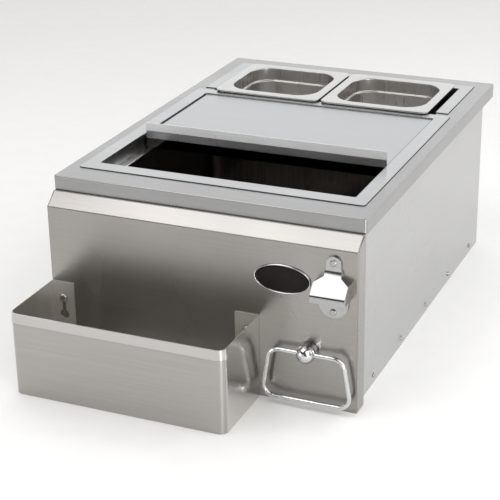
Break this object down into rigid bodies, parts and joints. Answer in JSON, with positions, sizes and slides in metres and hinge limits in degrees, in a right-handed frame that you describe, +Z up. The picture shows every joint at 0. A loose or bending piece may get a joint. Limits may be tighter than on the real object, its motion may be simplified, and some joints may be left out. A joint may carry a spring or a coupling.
{
  "type": "drop-in cocktail center",
  "caption": "Stainless drop-in bar unit: ice well with a sliding lid, condiment pans, and a front panel with bottle trough, bottle opener and towel ring.",
  "frame": {"origin": "middle of the body's underside", "axes": "+Z up, +X to the right seen from the front, front panel towards -Y"},
  "size_m": [0.457, 0.7759, 0.287],
  "materials": {
    "brushed_steel": "brushed stainless sheet, fine straight grain",
    "polished_lip": "polished stainless strip",
    "drawn_steel": "satin drawn stainless",
    "chrome": "bright chrome plate",
    "screw_steel": "bright stainless fasteners",
    "badge_black": "glossy black enamel",
    "foam": "moulded insulating foam",
    "nylon": "natural nylon",
    "drain_steel": "pressed stainless drain",
    "drain_plastic": "black moulded pipe plastic",
    "gasket_rubber": "soft black rubber"
  },
  "bodies": {
    "cabinet": {"top_frame": "brushed_steel", "well_collar": "brushed_steel", "pan_holder": "brushed_steel", "front_panel": "brushed_steel", "side_panel_left": "brushed_steel", "side_panel_right": "brushed_steel", "back_panel": "brushed_steel", "base_panel": "brushed_steel", "ice_tub": "drawn_steel", "bottle_opener": "chrome", "towel_post": "chrome", "badge_rim": "chrome", "rail_hanger_screws": "screw_steel", "opener_screws": "screw_steel", "side_screws_left": "screw_steel", "side_screws_right": "screw_steel", "back_screws": "screw_steel", "front_panel_screws": "screw_steel", "towel_post_screw": "screw_steel", "rail_hanger_nuts": "screw_steel", "opener_nuts": "screw_steel", "badge_face": "badge_black", "insulation_jacket": "foam", "drain_strainer": "drain_steel", "drain_grid": "drain_steel", "drain_nut": "drain_plastic", "drain_elbow": "drain_plastic", "drain_pipe": "drain_plastic", "drain_outlet": "drain_plastic", "drain_outlet_nut": "drain_plastic", "drain_gasket": "gasket_rubber"},
    "lid": {"sliding_lid": "brushed_steel", "lid_pull_lip": "polished_lip", "lid_glides": "nylon"},
    "pan_left": {"condiment_pan_left": "drawn_steel"},
    "pan_right": {"condiment_pan_right": "drawn_steel"},
    "rail": {"speed_rail": "brushed_steel"},
    "ring": {"towel_ring": "chrome"}
  },
  "joints": [
    {"name": "lid_slide", "type": "slide", "parent": "cabinet", "child": "lid", "axis": [0, -1, 0], "range_m": [0, 0.136]},
    {"name": "pan_left_lift", "type": "slide", "parent": "cabinet", "child": "pan_left", "axis": [0, 0, 1], "range_m": [0, 0.09]},
    {"name": "pan_right_lift", "type": "slide", "parent": "cabinet", "child": "pan_right", "axis": [0, 0, 1], "range_m": [0, 0.09]},
    {"name": "speed_rail_lift", "type": "slide", "parent": "cabinet", "child": "rail", "axis": [0, 0, 1], "range_m": [0, 0.026]},
    {"name": "towel_ring_swing", "type": "hinge", "parent": "cabinet", "child": "ring", "pos_m": [0.16, -0.34, 0.0825], "axis": [-1, 0, 0], "range_deg": [-5, 120]}
  ]
}
